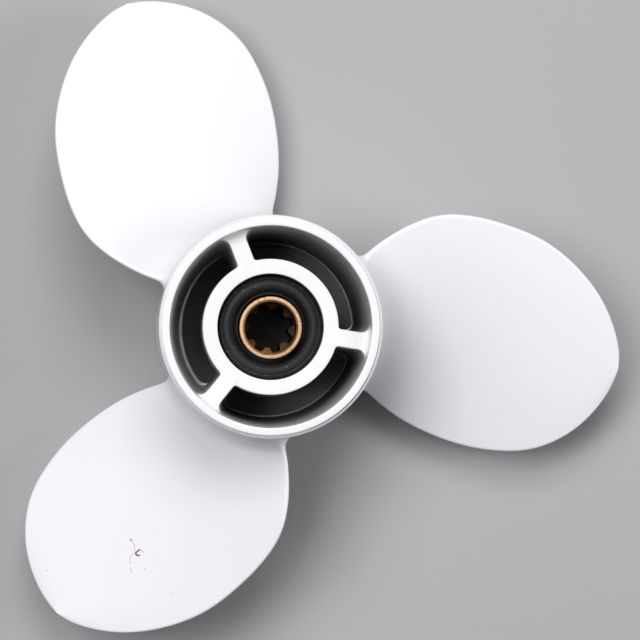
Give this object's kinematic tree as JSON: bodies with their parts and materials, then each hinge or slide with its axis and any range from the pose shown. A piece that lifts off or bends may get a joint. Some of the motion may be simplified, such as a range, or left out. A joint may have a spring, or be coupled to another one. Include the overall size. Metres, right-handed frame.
{
  "type": "boat propeller",
  "caption": "Small cast boat propeller for an outboard motor: broad swept blades on a hollow exhaust hub, a rubber bush and a splined metal sleeve.",
  "frame": {"origin": "on the shaft axis, at the part's centre of mass", "axes": "+Z along the shaft towards the bow (the front end of the hub is up), the first blade's middle along +X, +Y by the right-hand rule"},
  "size_m": [0.1968, 0.2095, 0.083],
  "materials": {
    "white_paint": "gloss",
    "black_rubber": "satin",
    "sleeve_metal": "satin"
  },
  "bodies": {
    "root": {"propeller_casting": "white_paint", "rubber_bush": "black_rubber", "splined_sleeve": "sleeve_metal"}
  },
  "joints": []
}
